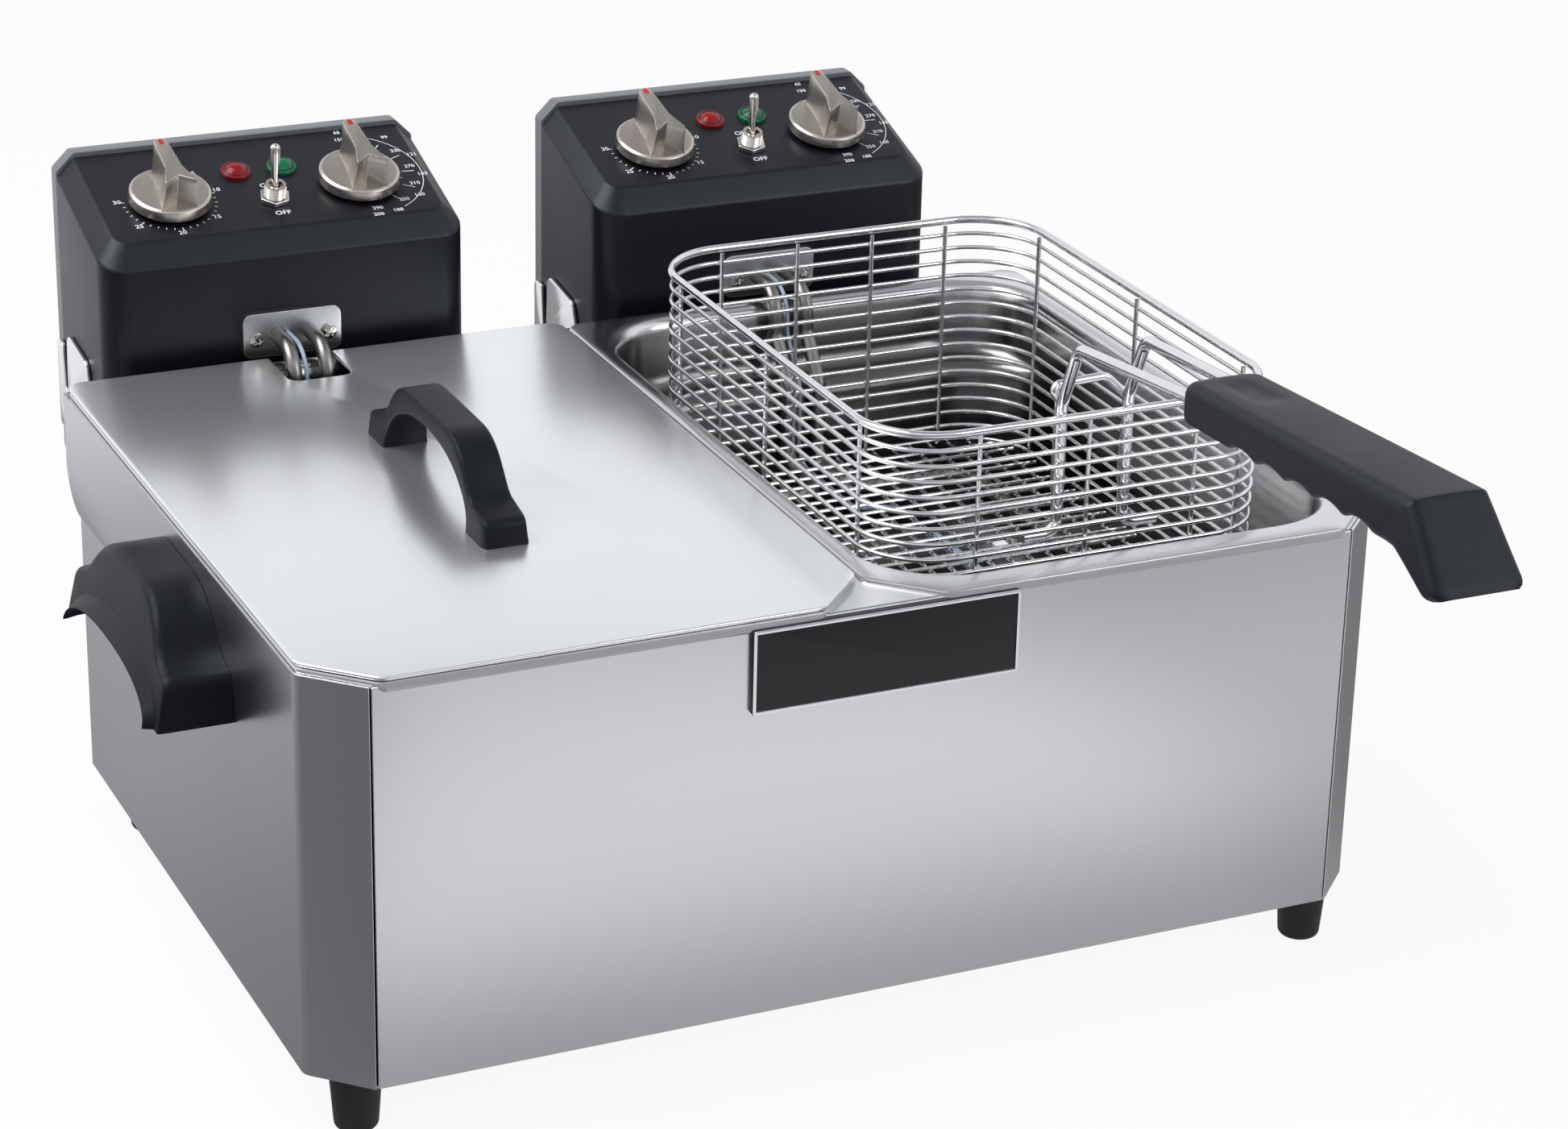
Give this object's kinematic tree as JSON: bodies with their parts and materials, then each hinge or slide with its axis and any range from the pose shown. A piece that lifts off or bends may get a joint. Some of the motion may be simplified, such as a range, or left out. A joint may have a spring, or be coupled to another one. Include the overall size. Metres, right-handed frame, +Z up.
{
  "type": "deep fryer",
  "caption": "Countertop electric deep fryer with side-by-side drop-in tanks, a lift-off lid, a wire basket with a long grip, and rear control heads with dials.",
  "frame": {"origin": "on the table, under the middle of the bounding box", "axes": "+Z up, -Y towards the user, +X to the user's right as they face the front"},
  "size_m": [0.632, 0.786, 0.353],
  "materials": {
    "stainless_sheet": "brushed satin stainless sheet",
    "pressed_steel": "pressed stainless steel, bright satin",
    "chromed_wire": "bright plated wire",
    "black_moulding": "heat-resistant black moulding",
    "head_shell": "fine-textured black coating",
    "head_cover": "dark grey coating",
    "nickel": "satin nickel plating",
    "red_lens": "clear red lens",
    "green_lens": "clear green lens",
    "element_tube": "bright annealed tube",
    "control_case": "moulded control case",
    "red_button": "moulded button",
    "zinc": "zinc-plated steel",
    "badge_face": "gloss black face with a silver border",
    "foot_rubber": "moulded rubber"
  },
  "bodies": {
    "fryer": {"base_plate": "stainless_sheet", "front_panel": "stainless_sheet", "left_side_panel": "stainless_sheet", "right_side_panel": "stainless_sheet", "rear_panel": "stainless_sheet", "top_frame": "stainless_sheet", "rubber_feet": "foot_rubber", "front_badge": "badge_face", "left_carry_handle": "black_moulding", "right_carry_handle": "black_moulding", "left_tank": "pressed_steel", "right_tank": "pressed_steel", "left_head_housing": "head_shell", "left_head_cover": "head_cover", "left_element_plate": "zinc", "left_plate_screws": "zinc", "left_heating_element": "element_tube", "left_thermostat_bulb": "element_tube", "left_head_brackets": "zinc", "left_head_pins": "zinc", "left_cable_gland": "black_moulding", "left_timer": "control_case", "left_thermostat": "control_case", "left_power_lamp": "red_lens", "left_heat_lamp": "green_lens", "left_toggle_switch": "nickel", "right_head_housing": "head_shell", "right_head_cover": "head_cover", "right_element_plate": "zinc", "right_plate_screws": "zinc", "right_heating_element": "element_tube", "right_thermostat_bulb": "element_tube", "right_head_brackets": "zinc", "right_head_pins": "zinc", "right_cable_gland": "black_moulding", "right_timer": "control_case", "right_thermostat": "control_case", "right_power_lamp": "red_lens", "right_heat_lamp": "green_lens", "right_toggle_switch": "nickel"},
    "lid": {"lid": "stainless_sheet", "lid_handle": "black_moulding", "lid_handle_screws": "zinc"},
    "basket": {"basket_rim": "chromed_wire", "basket_rings": "chromed_wire", "basket_posts": "chromed_wire", "basket_floor_long": "chromed_wire", "basket_floor_cross": "chromed_wire", "basket_handle_rods": "chromed_wire", "basket_grip": "black_moulding"},
    "left_timer_knob": {"left_timer_knob": "nickel"},
    "left_thermostat_knob": {"left_thermostat_knob": "nickel"},
    "left_toggle_lever": {"left_toggle_lever": "nickel"},
    "left_reset_button": {"left_reset_button": "red_button"},
    "right_timer_knob": {"right_timer_knob": "nickel"},
    "right_thermostat_knob": {"right_thermostat_knob": "nickel"},
    "right_toggle_lever": {"right_toggle_lever": "nickel"},
    "right_reset_button": {"right_reset_button": "red_button"}
  },
  "joints": [
    {"name": "lid_lift", "type": "slide", "parent": "fryer", "child": "lid", "axis": [0, 0, 1], "range_m": [0, 0.25]},
    {"name": "basket_lift", "type": "slide", "parent": "fryer", "child": "basket", "axis": [0, 0, 1], "range_m": [0, 0.3]},
    {"name": "left_timer_turn", "type": "hinge", "parent": "fryer", "child": "left_timer_knob", "pos_m": [-0.1995, 0.33287, 0.30824], "axis": [0, 0.2924, -0.9563], "range_deg": [0, 280]},
    {"name": "left_thermostat_turn", "type": "hinge", "parent": "fryer", "child": "left_thermostat_knob", "pos_m": [-0.0955, 0.33287, 0.30824], "axis": [0, 0.2924, -0.9563], "range_deg": [0, 270]},
    {"name": "left_toggle_rock", "type": "hinge", "parent": "fryer", "child": "left_toggle_lever", "pos_m": [-0.1445, 0.32453, 0.30987], "axis": [1, 0, 0], "range_deg": [0, 24]},
    {"name": "left_reset_press", "type": "slide", "parent": "fryer", "child": "left_reset_button", "axis": [0, 1, 0], "range_m": [0, 0.003], "stiffness_N_per_m": 300},
    {"name": "right_timer_turn", "type": "hinge", "parent": "fryer", "child": "right_timer_knob", "pos_m": [0.0755, 0.33287, 0.30824], "axis": [0, 0.2924, -0.9563], "range_deg": [0, 280]},
    {"name": "right_thermostat_turn", "type": "hinge", "parent": "fryer", "child": "right_thermostat_knob", "pos_m": [0.1795, 0.33287, 0.30824], "axis": [0, 0.2924, -0.9563], "range_deg": [0, 270]},
    {"name": "right_toggle_rock", "type": "hinge", "parent": "fryer", "child": "right_toggle_lever", "pos_m": [0.1305, 0.32453, 0.30987], "axis": [1, 0, 0], "range_deg": [0, 24]},
    {"name": "right_reset_press", "type": "slide", "parent": "fryer", "child": "right_reset_button", "axis": [0, 1, 0], "range_m": [0, 0.003], "stiffness_N_per_m": 300}
  ]
}
